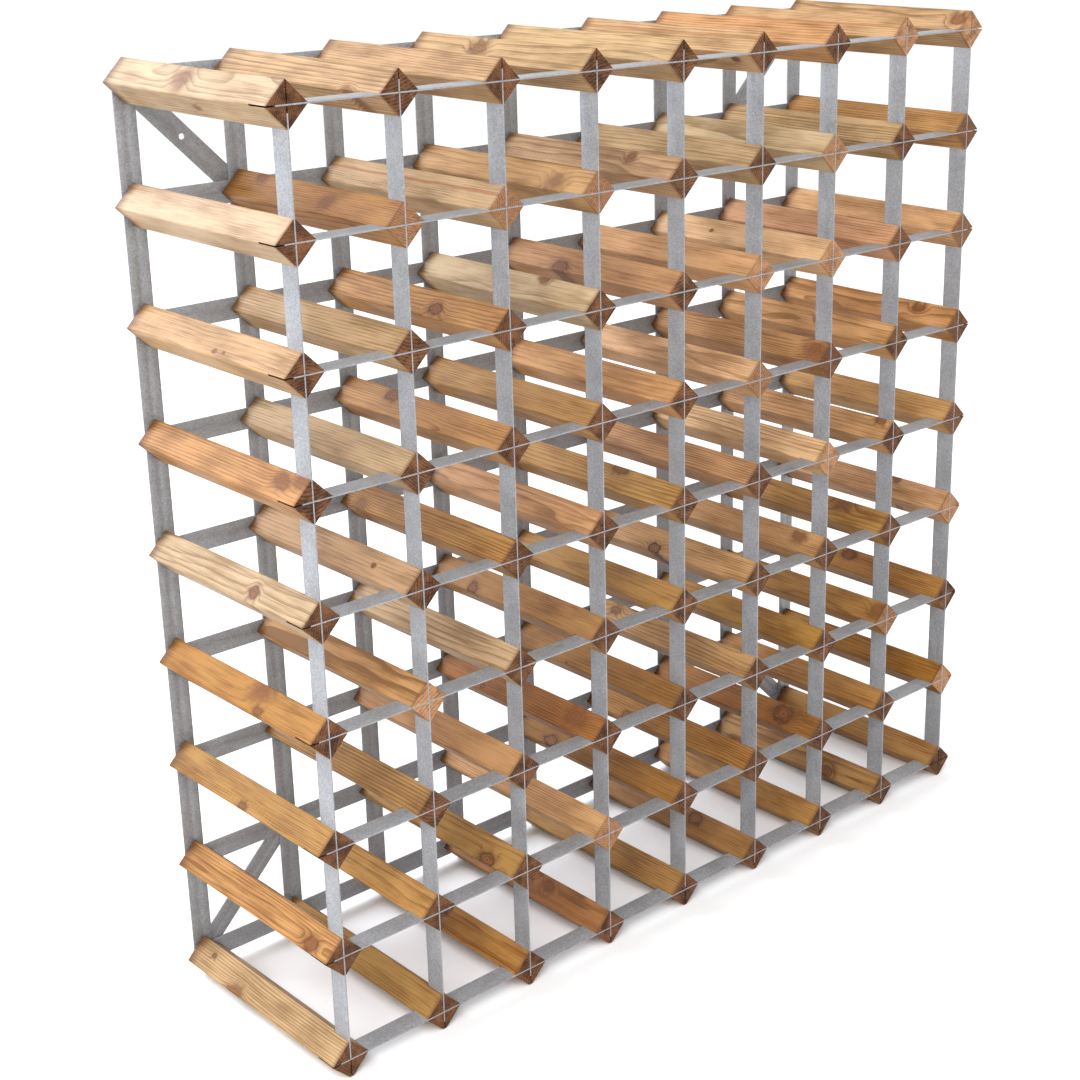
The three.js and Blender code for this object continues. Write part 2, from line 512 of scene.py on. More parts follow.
        # Painted shade: the wide band before the rear end darkens the wood as the shade by the rear strips
        # would; the thin front band is stain
        behind = (finish.trait("bar_length") - ragged).fall(0.0, self.rear_stain_and_shade)
        before = ragged.fall(0.0, self.front_stain)
        return finish.blend(behind * 0.8 + before * 0.55, colour, self.end_stain_and_shade)

    @staticmethod
    def _with_own_shade(finish: Finish, colour: Socket) -> Socket:
        """Give each bar its own lightness and warmth."""
        traits = {"Hue": "hue", "Saturation": "saturation", "Value": "lightness"}
        sockets = {socket: finish.trait(trait) for socket, trait in traits.items()}
        return finish.node("ShaderNodeHueSaturation", sockets={**sockets, "Color": colour})


@dataclass(frozen=True)
class PineEnds:
    """Stained end grain and saw cuts, where the stain soaked in dark."""

    early: Colour = (0.185, 0.078, 0.033)
    late: Colour = (0.036, 0.014, 0.006)
    bare: Colour = (0.46, 0.235, 0.115)
    relief: float = 0.35 * MM
    roughness: float = 0.62
    sheen: float = 0.15

    def build(self) -> bpy.types.Material:
        """Build the material.

        Returns:
            The finished material.
        """
        finish = Finish("pine_end_grain")
        wood = GrowthRings(finish)
        pores = finish.grain(wood.place, 2600.0, 2.0, wood.seed)
        sawn = wood.place.vector("MULTIPLY", (0.25, 1.0, 1.0))
        saw = finish.grain(sawn, 1300.0, 2.0, wood.seed + 1.0)
        patches = finish.grain(wood.place, 90.0, 3.0, wood.seed + 4.0)
        grain = wood.late_wood() * 0.7 + (pores - 0.5) * 1.4 + (saw - 0.5) * 1.6
        depth = (grain + (patches - 0.5) * 2.4 + 0.42).clamped()
        colour = finish.blend(depth, self.early, self.late)
        wear = finish.trait("end_wear")
        worn = (patches + wear - 0.5).rise(0.0, 0.35) * wear.rise(0.0, 0.35)
        colour = finish.blend(worn * (1.0 - depth * 0.7), colour, self.bare)
        normal = finish.bump(pores * 0.5 + saw * 0.5, self.relief, 0.7)
        finish.dress(Base_Color=colour, Normal=normal)
        finish.dress(Roughness=self.roughness, Specular_IOR_Level=self.sheen)
        return finish.material


@dataclass(frozen=True)
class Galvanised:
    """Zinc-coated steel with a fine, matt spangle."""

    name: str = "galvanised_strip"
    colour: Colour = (0.335, 0.343, 0.355)
    roughness: float = 0.52
    tarnish: Colour = (0.60, 0.60, 0.61)
    tarnish_roughness: float = 0.6

    def build(self) -> bpy.types.Material:
        """Build the material.

        Returns:
            The finished material.
        """
        finish = Finish(self.name)
        place = finish.place()
        sockets = {"Vector": place, "Scale": 800.0}
        crystals = finish.node("ShaderNodeTexVoronoi", sockets=sockets, out="Color")
        facet, _, _ = finish.parts(crystals)
        mottle = finish.grain(place, 1400.0, 2.0)
        clouds = finish.grain(place, 35.0, 3.0, 3.0)
        shine = facet * 0.4 + mottle * 0.6 + clouds * 0.4 - 0.32
        tarnish = mottle * 1.4 + facet * 0.5 + clouds * 0.8 - 0.95
        finish.dress(Base_Color=self.colour, Roughness=self.roughness, Metallic=shine.clamped())
        finish.dress(Coat_Weight=tarnish.clamped(), Coat_Tint=self.tarnish)
        finish.dress(Coat_Roughness=self.tarnish_roughness)
        return finish.material


# --- Pieces ---
def add_piece(name: str, mesh: bpy.types.Mesh, materials: list[bpy.types.Material]) -> bpy.types.Object:
    """Make an object of a mesh and link it to the scene.

    Args:
        name: The piece's name.
        mesh: Its mesh.
        materials: Its materials, in slot order.

    Returns:
        The object.
    """
    for material in materials:
        mesh.materials.append(material)
    piece = bpy.data.objects.new(name, mesh)
    bpy.context.scene.collection.objects.link(piece)
    return piece


def settle(piece: bpy.types.Object, node: str) -> None:
    """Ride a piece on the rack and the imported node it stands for.

    Args:
        piece: The piece.
        node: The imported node.
    """
    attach(piece, ROOT)
    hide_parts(node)
    log.info("%s: %d faces, stands for %s", piece.name, len(piece.data.polygons), node)


def smooth(mesh: bpy.types.Mesh, crease: float) -> None:
    """Shade a mesh smooth up to a crease angle in degrees."""
    mesh.shade_smooth()
    mesh.set_sharp_from_angle(angle=math.radians(crease))


# --- Strips ---
@dataclass
class Strip:
    """A flat strip: an outline with holes, drawn in its own plane and given a thickness."""

    thickness: float = 1.2 * MM
    easing: float = 0.12 * MM
    hole_steps: int = 20

    def circle(self, x: float, y: float, radius: float) -> list[Point]:
        """Give the outline of a round hole centred on (x, y)."""
        turns = [math.tau * step / self.hole_steps for step in range(self.hole_steps)]
        return [(x + radius * math.cos(turn), y + radius * math.sin(turn)) for turn in turns]

    def mesh(self, name: str, outlines: list[list[Point]], place: Matrix) -> bpy.types.Mesh:
        """Cut the strip: a filled outline with eased edges.

        Args:
            name: The mesh's name.
            outlines: The outer outline, then the holes.
            place: Where the strip goes, with X along it, Y across it and Z through it.

        Returns:
            A closed mesh.
        """
        curve = bpy.data.curves.new(f"{name}_outline", "CURVE")
        curve.dimensions = "2D"
        curve.fill_mode = "BOTH"
        curve.extrude = self.thickness / 2 - self.easing
        curve.bevel_depth = self.easing
        curve.bevel_resolution = 1
        curve.offset = -self.easing
        for outline in outlines:
            spline = curve.splines.new("POLY")
            spline.points.add(len(outline) - 1)
            for point, (x, y) in zip(spline.points, outline):
                point.co = (x, y, 0.0, 1.0)
            spline.use_cyclic_u = True
        holder = bpy.data.objects.new(f"{name}_outline", curve)
        bpy.context.scene.collection.objects.link(holder)
        bpy.context.view_layer.update()
        mesh = bpy.data.meshes.new_from_object(holder)
        bpy.data.objects.remove(holder)
        bpy.data.curves.remove(curve)
        mesh.name = name
        work = bmesh.new()
        work.from_mesh(mesh)
        bmesh.ops.remove_doubles(work, verts=work.verts, dist=0.01 * MM)
        bmesh.ops.recalc_face_normals(work, faces=work.faces)
        work.to_mesh(mesh)
        work.free()
        mesh.materials.clear()
        mesh.transform(place)
        smooth(mesh, 30.0)
        return mesh


def axes(along: Vector, across: Vector, origin: Vector) -> Matrix:
    """Place a strip by the directions along and across it and its own origin."""
    turned = Matrix((along, across, along.cross(across))).transposed()
    return Matrix.Translation(origin) @ turned.to_4x4()


def toothed_edge(start: float, end: float, edge: float, floor: float, notches: list[Point]) -> list[Point]:
    """Draw one edge of a strip, with the notches that fall inside its length.

    Args:
        start: Where the strip starts.
        end: Where it ends.
        edge: Where the edge lies across the strip.
        floor: How far across the strip the notches reach.
        notches: Where each notch starts and ends along the strip.

    Returns:
        The edge's points, from start to end.
    """
    points = [(start, edge)]
    for near, far in notches:
        if start < near and far < end:
            points += [(near, edge), (near, floor), (far, floor), (far, edge)]
    return points + [(end, edge)]


@dataclass
class FrontStrips:
    """The strips on edge in the bars' saw cuts: nine uprights half-lapped with nine rails."""

    grid: Grid
    steel: bpy.types.Material
    strip: Strip = field(default_factory=Strip)
    width: float = 20 * MM
    lap: float = 10 * MM
    clearance: float = 0.15 * MM
    overhang: float = 9.5 * MM
    notch: float = 1.8 * MM
    punch_radius: float = 1.2 * MM
    tops: dict[int, float] = field(
        default_factory=lambda: {1: -6 * MM, 9: -8 * MM, 4: 8 * MM, 6: 8.5 * MM}
    )
    feet: dict[int, float] = field(
        default_factory=lambda: {1: -1 * MM, 3: 8 * MM, 5: -2.5 * MM, 9: -14 * MM}
    )
    short_rail: int = 9
    short_by: float = 26 * MM
    punched: dict[int, Point] = field(
        default_factory=lambda: {5: (-48 * MM, 13 * MM), 6: (-137 * MM, 10 * MM), 7: (239 * MM, 7 * MM)}
    )

    def _notches(self, centres: tuple[float, ...]) -> list[Point]:
        """Give where the notches at these centres start and end."""
        return [(centre - self.notch / 2, centre + self.notch / 2) for centre in sorted(centres)]

    def _strip(self, name: str, outlines: list[list[Point]], place: Matrix, node: str) -> None:
        """Make one strip of its outlines, in its place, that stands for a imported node."""
        piece = add_piece(name, self.strip.mesh(name, outlines, place), [self.steel])
        settle(piece, node)

    def upright(self, column: int) -> None:
        """Make one upright, notched from its front edge.

        Args:
            column: Its column.
        """
        start = self.grid.z(ROWS) - self.feet.get(column, self.overhang)
        end = self.grid.z(1) + self.tops.get(column, self.overhang)
        floor = self.lap + self.clearance
        outline = toothed_edge(start, end, 0.0, floor, self._notches(self.grid.rows))
        outline += [(end, self.width), (start, self.width)]
        origin = Vector((self.grid.x(column), self.grid.front, 0.0))
        place = axes(Vector((0, 0, 1)), Vector((0, 1, 0)), origin)
        node = packed_node(f"upright_front_c{column}", column)
        self._strip(f"front_upright_c{column}", [outline], place, node)

    def rail(self, row: int) -> None:
        """Make one rail, notched from its rear edge.

        Args:
            row: Its row.
        """
        start = self.grid.x(1) - self.overhang
        end = self.grid.x(COLUMNS) + self.overhang - (self.short_by if row == self.short_rail else 0.0)
        floor = self.lap - self.clearance
        outline = toothed_edge(start, end, self.width, floor, self._notches(self.grid.columns))
        outlines = [outline + [(end, 0.0), (start, 0.0)]]
        if row in self.punched:
            outlines.append(self.strip.circle(*self.punched[row], self.punch_radius))
        origin = Vector((0.0, self.grid.front, self.grid.z(row)))
        place = axes(Vector((1, 0, 0)), Vector((0, 1, 0)), origin)
        self._strip(f"front_rail_r{row}", outlines, place, f"rail_front_r{row}")

    def build(self) -> None:
        """Make every front strip."""
        for column in range(1, COLUMNS + 1):
            self.upright(column)
        for row in range(1, ROWS + 1):
            self.rail(row)


@dataclass
class RearStrips:
    """The strips lying flat on the bars' rear ends, with a diagonal brace over each corner."""

    grid: Grid
    steel: bpy.types.Material
    strip: Strip = field(default_factory=Strip)
    width: float = 19 * MM
    overhang: float = 8 * MM
    brace_overhang: float = 8.5 * MM
    nail_hole: float = 1.7 * MM
    screw_hole: float = 2.5 * MM

    def _flat(self, name: str, ends: Point, holes: list[Point], place: Matrix, node: str) -> None:
        """Make one flat strip with holes on its centre line.

        Args:
            name: Its name.
            ends: Where it starts and ends along itself.
            holes: Each hole's place along the strip and its radius.
            place: Where the strip goes.
            node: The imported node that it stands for.
        """
        start, end = ends
        half = self.width / 2
        outline = [(start, -half), (end, -half), (end, half), (start, half)]
        rounds = [self.strip.circle(along, 0.0, radius) for along, radius in holes]
        piece = add_piece(name, self.strip.mesh(name, [outline, *rounds], place), [self.steel])
        settle(piece, node)

    def build(self) -> None:
        """Make every rear strip."""
        grid = self.grid
        right = Vector((1, 0, 0))
        up = Vector((0, 0, 1))
        rail_y = sum(grid.rail_layer) / 2
        upright_y = sum(grid.upright_layer) / 2
        for row in range(1, ROWS + 1):
            place = axes(right, up, Vector((0.0, rail_y, grid.z(row))))
            ends = (grid.x(1) - self.overhang, grid.x(COLUMNS) + self.overhang)
            holes = [(x, self.nail_hole) for x in grid.columns]
            self._flat(f"rear_rail_r{row}", ends, holes, place, f"rail_rear_r{row}")
        for column in range(1, COLUMNS + 1):
            place = axes(up, -right, Vector((grid.x(column), upright_y, 0.0)))
            ends = (grid.z(ROWS) - self.overhang, grid.z(1) + self.overhang)
            holes = [(z, self.nail_hole) for z in grid.rows]
            node = packed_node(f"upright_rear_c{column}", column)
            self._flat(f"rear_upright_c{column}", ends, holes, place, node)
        self._braces()

    def _braces(self) -> None:
        """Make the four corner braces, each from a corner bar to its diagonal neighbour."""
        grid = self.grid
        reach = grid.pitch / math.sqrt(2)
        ends = (-reach - self.brace_overhang, reach + self.brace_overhang)
        holes = [(-reach, self.nail_hole), (0.0, self.screw_hole), (reach, self.nail_hole)]
        for up_name, outer_row, inner_row in (("top", 1, 2), ("bottom", ROWS, ROWS - 1)):
            for side_name, outer_column, inner_column in (("left", 1, 2), ("right", COLUMNS, COLUMNS - 1)):
                outer = Vector((grid.x(outer_column), 0.0, grid.z(outer_row)))
                inner = Vector((grid.x(inner_column), 0.0, grid.z(inner_row)))
                along = (inner - outer).normalized()
                across = Vector((0, 1, 0)).cross(along)
                middle = (outer + inner) / 2
                middle.y = sum(grid.brace_layer) / 2
                where = f"{up_name}_{side_name}"
                place = axes(along, across, middle)
                self._flat(f"corner_brace_{where}", ends, holes, place, f"brace_{where}")


# --- Nails ---
def is_braced(column: int, row: int) -> bool:
    """Say whether a corner brace is nailed to the bar in this column and row."""
    from_side = min(column, COLUMNS + 1 - column)
    return from_side == min(row, ROWS + 1 - row) <= 2


@dataclass
class Nails:
    """The galvanised clout nails that hold the rear strips, one to a bar."""

    grid: Grid
    steel: bpy.types.Material
    shank: float = 1.3 * MM
    head: float = 3.5 * MM
    head_height: float = 1.0 * MM
    braced_height: float = 1.3 * MM
    depth: float = 20 * MM
    segments: int = 20

    def _mesh(self, name: str, height: float, grip: float, seed: int) -> bpy.types.Mesh:
        """Turn a nail about its own axis, with a slightly uneven domed head.

        Args:
            name: The mesh's name.
            height: The head's height.
            grip: How far the shank reaches in front of the head's seat.
            seed: The unevenness's seed.

        Returns:
            A closed mesh along Y, its seat at the origin.
        """
        profile = [
            (self.shank * 0.45, -grip + 1 * MM),
            (self.shank, -grip + 4 * MM),
            (self.shank, 0.0),
            (self.head * 0.97, 0.0),
            (self.head, height * 0.25),
            (self.head * 0.95, height * 0.6),
            (self.head * 0.7, height * 0.88),
            (self.head * 0.3, height),
        ]
        rng = random.Random(seed)
        lobes = [rng.uniform(-0.05, 0.0) for _ in range(self.segments)]
        work = bmesh.new()
        rings = []
        for radius, y in profile:
            ring = []
            for step in range(self.segments):
                turn = math.tau * step / self.segments
                uneven = radius * (1 + lobes[step]) if radius > self.shank else radius
                ring.append(work.verts.new((uneven * math.cos(turn), y, uneven * math.sin(turn))))
            rings.append(ring)
        for one, other in zip(rings, rings[1:]):
            for step in range(self.segments):
                after = (step + 1) % self.segments
                work.faces.new((one[step], one[after], other[after], other[step]))
        for ring, y in ((rings[0], -grip), (rings[-1], height)):
            pole = work.verts.new((0.0, y, 0.0))
            for step in range(self.segments):
                work.faces.new((ring[step], ring[(step + 1) % self.segments], pole))
        bmesh.ops.recalc_face_normals(work, faces=work.faces)
        mesh = bpy.data.meshes.new(name)
        work.to_mesh(mesh)
        work.free()
        smooth(mesh, 50.0)
        return mesh

    def build(self) -> None:
        """Make every nail."""
        for column in range(1, COLUMNS + 1):
            for row in range(1, ROWS + 1):
                braced = is_braced(column, row)
                seat = self.grid.brace_layer[1] if braced else self.grid.upright_layer[1]
                height = self.braced_height if braced else self.head_height
                name = f"clout_nail_c{column}_r{row}"
                mesh = self._mesh(name, height, self.depth, 31 * column + row)
                mesh.transform(Matrix.Translation((self.grid.x(column), seat, self.grid.z(row))))
                node = packed_node(f"bar_c{column}_r{row}", column)
                settle(add_piece(name, mesh, [self.steel]), node)


# --- Bars ---
class Side(Enum):
    """The long faces of a bar, by the way each one looks, as seen from the front."""

    UPPER_LEFT = (-1.0, 1.0)
    LOWER_LEFT = (-1.0, -1.0)

    @property
    def outward(self) -> Vector:
        """Give the face's outward direction."""
        return Vector((self.value[0], 0.0, self.value[1])).normalized()

    @property
    def across(self) -> Vector:
        """Give the direction across the face, upwards."""
        return Vector((-self.value[0] * self.value[1], 0.0, 1.0)).normalized()


@dataclass(frozen=True)
class Knot:
    """A knot on one face of a bar, in millimetres from the front end and from the face's middle."""

    back: float
    across: float
    radius: float
    bark: float = 0.5
    side: Side = Side.UPPER_LEFT
    lying: bool = False

    def place(self, half_side: float) -> Vector:
        """Give where the knot's axis meets the face, in the bar's own axes."""
        spot = self.side.outward * half_side + self.side.across * (self.across * MM)
        return Vector((spot.x, self.back * MM, spot.z))

    def axis(self) -> Vector:
        """Give the knot's axis: out of the face, or lying across it."""
        direction = self.side.outward
        if self.lying:
            direction = (self.side.across + self.side.outward * 0.8).normalized()
        return (direction + Vector((0.0, 0.18, 0.0))).normalized()


@dataclass(frozen=True)
class Marks:
    """What one bar has of its own. Its streak's place and its ring width are in millimetres."""

    knots: tuple[Knot, ...] = ()
    streak: float = 0.0
    streak_across: float = 0.0
    ring_contrast: float | None = None
    ring_width: float = 0.0
    end_wear: float = 0.0
    dents: float = 0.0


UNDERNEATH = Side.LOWER_LEFT

MARKS: dict[tuple[int, int], Marks] = {
    (1, 1): Marks((Knot(124, 1, 7, 0.15), Knot(106, -1, 3, 0.2, UNDERNEATH))),
    (1, 2): Marks(ring_contrast=0.3, ring_width=1.6),
    (1, 3): Marks((Knot(100, -8, 1.6), Knot(88, -7, 1.3))),
    (1, 4): Marks((Knot(30, 3, 6, 0.25), Knot(8, 10, 7, 0.1)), ring_contrast=0.8),
    (1, 5): Marks((Knot(76, -3, 3.5, 0.6, lying=True),), ring_contrast=0.9, ring_width=2.2),
    (1, 6): Marks((Knot(86, 7, 8, 0.0), Knot(78, -9, 3.5, 0.5))),
    (1, 7): Marks((Knot(114, -9, 3.5),), dents=1.0),
    (1, 8): Marks((Knot(28, -5, 5.5, 0.45),), ring_contrast=0.9),
    (1, 9): Marks((Knot(200, 4, 2, 0.6), Knot(152, -12, 7, 0.25))),
    (2, 1): Marks((Knot(42, -13, 4, 0.1),), ring_contrast=1.0, ring_width=3.0),
    (2, 2): Marks((Knot(88, -1, 5, 0.05), Knot(188, 9, 4, 0.3)), ring_contrast=0.8, end_wear=0.25),
    (2, 5): Marks((Knot(54, 0, 1.8, 0.8),)),
    (2, 6): Marks(ring_contrast=1.6, ring_width=3.4, end_wear=0.4),
    (2, 7): Marks(ring_contrast=1.3, ring_width=3.0, streak=0.35, streak_across=-2),
    (3, 2): Marks(streak=0.9, streak_across=3, ring_contrast=0.5, end_wear=0.25, dents=0.6),
    (3, 3): Marks((Knot(82, -4, 5, 0.7),), ring_contrast=0.9),
    (3, 4): Marks((Knot(158, 7, 6, 0.55),)),
    (3, 5): Marks((Knot(202, -8, 5, 0.2),), ring_contrast=1.2),
    (3, 8): Marks((Knot(38, -9, 6, 0.8),)),
    (4, 1): Marks((Knot(140, 1, 6.5, 0.4),), ring_contrast=0.9),
    (4, 2): Marks((Knot(40, -4, 7, 0.0),), end_wear=0.25),
    (4, 3): Marks((Knot(68, 11, 4, 0.5),)),
    (4, 6): Marks((Knot(168, -9, 4, 0.7, lying=True),)),
    (4, 7): Marks((Knot(160, -8, 2, 0.8), Knot(34, 3, 8, 0.15))),
    (4, 8): Marks(end_wear=0.3),
    (4, 9): Marks((Knot(82, 4, 5, 0.2),)),
    (5, 2): Marks((Knot(60, 4, 4, 0.3),), ring_contrast=0.9, end_wear=0.1, dents=0.6),
    (5, 3): Marks((Knot(146, -9, 6, 0.5),)),
    (5, 5): Marks((Knot(82, 11, 6, 0.6),)),
    (5, 7): Marks((Knot(148, -11, 1, 1.0),)),
    (5, 8): Marks((Knot(178, -7, 6, 0.9),)),
    (6, 1): Marks((Knot(22, 4, 2.5, 0.8, UNDERNEATH),), streak=0.6, streak_across=4),
    (6, 3): Marks(end_wear=0.4),
    (6, 4): Marks(end_wear=0.25),
    (6, 5): Marks(ring_contrast=1.1, ring_width=2.6),
    (6, 6): Marks((Knot(126, -9, 5, 1.0),)),
    (6, 7): Marks((Knot(194, 5, 4),)),
    (6, 8): Marks((Knot(170, -9, 4, 0.4),)),
    (6, 9): Marks((Knot(78, 4, 6, 0.6),)),
    (7, 2): Marks(ring_contrast=0.9, end_wear=0.3),
    (7, 3): Marks((Knot(150, -1, 1.5, 0.7),), end_wear=0.45),
    (7, 4): Marks((Knot(12, -1, 9, 0.15),), end_wear=0.1),
    (7, 5): Marks(end_wear=0.4),
    (7, 6): Marks((Knot(30, 4, 5, 0.35), Knot(68, -12, 3.5, 0.8, UNDERNEATH))),
    (7, 8): Marks((Knot(46, 2, 8.5, 0.6),)),
    (8, 1): Marks(streak=0.6, streak_across=-1, end_wear=0.45),
    (8, 3): Marks(end_wear=0.15),
    (8, 4): Marks((Knot(96, 4, 3, 0.6, lying=True),)),
    (8, 5): Marks((Knot(14, 10, 4, 0.5),)),
    (8, 6): Marks((Knot(60, 10, 8, 0.1), Knot(82, 4, 2, 0.6))),
    (8, 7): Marks((Knot(4, 2, 7, 0.15),), end_wear=0.25),
    (8, 9): Marks((Knot(66, -8, 6, 0.35),)),
    (9, 1): Marks((Knot(10, 1, 6, 0.3),), ring_contrast=0.9, end_wear=0.55),
    (9, 2): Marks(end_wear=0.15),
    (9, 3): Marks(end_wear=0.2),
    (9, 4): Marks((Knot(46, 4, 5, 0.2),), ring_contrast=1.1, ring_width=2.8, end_wear=0.1),
    (9, 5): Marks(end_wear=0.15),
    (9, 6): Marks((Knot(70, 11, 3, 0.4, lying=True),), end_wear=0.35),
    (9, 7): Marks((Knot(130, 6, 6, 0.7),)),
    (9, 8): Marks(end_wear=0.4),
}


CORNERS = ((1.0, 0.0), (0.0, 1.0), (-1.0, 0.0), (0.0, -1.0))
FOOT_CORNER = 3


@dataclass
class Bar:
    """One square bar on edge, with crossed saw cuts in its front end."""

    column: int
    row: int
    apex: float
    foot_reach: float
    length: float
    marks: Marks
    slot: float = 1.3 * MM
    slot_depth: float = 21.5 * MM
    arris: float = 1.2 * MM
    end_ease: float = 0.35 * MM
    unevenness: float = 0.006
    edge_offsets: tuple[float, ...] = (1.6 * MM, 2.7 * MM)
    face_points: int = 3
    span_step: float = 14 * MM

    @property
    def name(self) -> str:
        """Name the piece."""
        return f"pine_bar_c{self.column}_r{self.row}"

    @property
    def half_diagonal(self) -> float:
        """Give half the diagonal of the square before its edges are eased."""
        return self.apex + (math.sqrt(2) - 1) * self.arris

    @property
    def half_side(self) -> float:
        """Give half the bar's side."""
        return self.half_diagonal / math.sqrt(2)

    def _easing(self, corner: int) -> float:
        """Give the radius of one long edge."""
        if corner % 4 != FOOT_CORNER:
            return self.arris
        return (self.half_diagonal - self.foot_reach) / (math.sqrt(2) - 1)

    def _at(self, corner: int, offset: float) -> Point:
        """Give a point of the section near a corner.

        Args:
            corner: The corner, anticlockwise from the right as seen from the front.
            offset: How far the point is to the side of the corner.

        Returns:
            The point.
        """
        out_x, out_z = CORNERS[corner % 4]
        radius = self._easing(corner)
        reach = self.half_diagonal - abs(offset)
        if abs(offset) < radius / math.sqrt(2):
            reach = self.half_diagonal - radius * math.sqrt(2) + math.sqrt(radius ** 2 - offset ** 2)
        return out_x * reach - out_z * offset, out_z * reach + out_x * offset

    def _face(self, corner: int) -> list[Point]:
        """Give the section's points from the saw cut at one corner to the cut at the next.

        Args:
            corner: The first corner.

        Returns:
            The points.
        """
        offsets = (self.slot / 2, *self.edge_offsets)
        first = [self._at(corner, offset) for offset in offsets]
        last = [self._at(corner + 1, -offset) for offset in reversed(offsets)]
        start = Vector(first[-1])
        end = Vector(last[0])
        steps = self.face_points + 1
        middle = [tuple(start.lerp(end, step / steps)) for step in range(1, steps)]
        return first + middle + last

    def _ridge(self, corner: int) -> list[Point]:
        """Give the section's points over one corner, where no cut goes through it."""
        return [self._at(corner, offset) for offset in (-self.slot / 4, 0.0, self.slot / 4)]

    def _inner(self, corner: int) -> Point:
        """Give the saw cuts' inside corner between a corner and the next."""
        out_x, out_z = CORNERS[corner % 4]
        half = self.slot / 2
        return out_x * half - out_z * half, out_z * half + out_x * half

    def _stations(self) -> tuple[list[float], list[float]]:
        """Give the places along the bar of the rings of points.

        Returns:
            The places up to the saw cuts' floor, and those from there to the rear end.
        """
        cut = [0.0, self.end_ease, 1.6 * MM, 4 * MM, 9 * MM, 15 * MM, self.slot_depth]
        rear = [self.length - 1.6 * MM, self.length - self.end_ease, self.length]
        spans = round((rear[0] - self.slot_depth) / self.span_step)
        whole = [self.slot_depth + (rear[0] - self.slot_depth) * step / spans for step in range(spans)]
        return cut, whole + rear

    def _moved(self, point: Point, y: float, rng_seed: float, bow: Point) -> Vector:
        """Give a point of the finished surface, slightly uneven and bowed.

        Args:
            point: The point of the ideal section.
            y: Its place along the bar.
            rng_seed: The unevenness's seed.
            bow: How far the bar bends at mid length.

        Returns:
            The point.
        """
        x, z = point
        at_end = y < self.end_ease / 2 or y > self.length - self.end_ease / 2
        rough = noise.noise(Vector((x * 70, y * 18 + rng_seed * 9.7, z * 70)))
        size = 1 - self.unevenness * (0.5 + 0.5 * rough) - (self.end_ease / self.apex if at_end else 0.0)
        sag = 4 * (y / self.length) * (1 - y / self.length)
        return Vector((x * size + bow[0] * sag, y, z * size + bow[1] * sag))

    def mesh(self, rng: random.Random) -> bpy.types.Mesh:
        """Build the bar: four prongs between the saw cuts, and the whole bar behind them.

        Args:
            rng: The bar's own random numbers.

        Returns:
            A closed mesh, the long faces in slot 0 and the sawn ones in slot 1.
        """
        seed = rng.uniform(0, 50)
        inward = (-math.copysign(1, self.column - 5), math.copysign(1, self.row - 5))
        bow = tuple(way * rng.uniform(0.0, 0.35) * MM for way in inward)
        cut, whole = self._stations()
        work = bmesh.new()

        def ring(points: list[Point], y: float) -> list[bmesh.types.BMVert]:
            """Add one ring of points."""
            return [work.verts.new(self._moved(point, y, seed, bow)) for point in points]

        def skin(one: list[bmesh.types.BMVert], other: list[bmesh.types.BMVert], sawn_from: int) -> None:
            """Join two rings of points.

            Args:
                one: The first ring.
                other: The next ring.
                sawn_from: The first edge that is in the sawn material.
            """
            count = len(one)
            for step in range(count):
                after = (step + 1) % count
                face = work.faces.new((one[step], one[after], other[after], other[step]))
                face.material_index = 1 if step >= sawn_from else 0

        def sawn(points: list[bmesh.types.BMVert]) -> None:
            """Add one sawn face."""
            work.faces.new(points).material_index = 1

        faces = [self._face(corner) for corner in range(4)]
        floor_rings = []
        for corner, face in enumerate(faces):
            rings = [ring([*face, self._inner(corner)], y) for y in cut]
            sawn(rings[0])
            for one, other in zip(rings, rings[1:]):
                skin(one, other, len(face) - 1)
            floor_rings.append(rings[-1])
        ridges = [ring(self._ridge(corner), self.slot_depth) for corner in range(4)]
        for corner in range(4):
            before = floor_rings[corner - 1]
            after = floor_rings[corner]
            sawn([before[-2], *ridges[corner], after[0], after[-1], before[-1]])
        sawn([each[-1] for each in floor_rings])

        previous = []
        section = []
        for corner in range(4):
            previous += floor_rings[corner][:-1] + ridges[(corner + 1) % 4]
            section += faces[corner] + self._ridge(corner + 1)
        for y in whole[1:]:
            current = ring(section, y)
            skin(previous, current, len(section))
            previous = current
        sawn(previous)
        bmesh.ops.recalc_face_normals(work, faces=work.faces)
        mesh = bpy.data.meshes.new(self.name)
        work.to_mesh(mesh)
        work.free()
        smooth(mesh, 35.0)
        return mesh

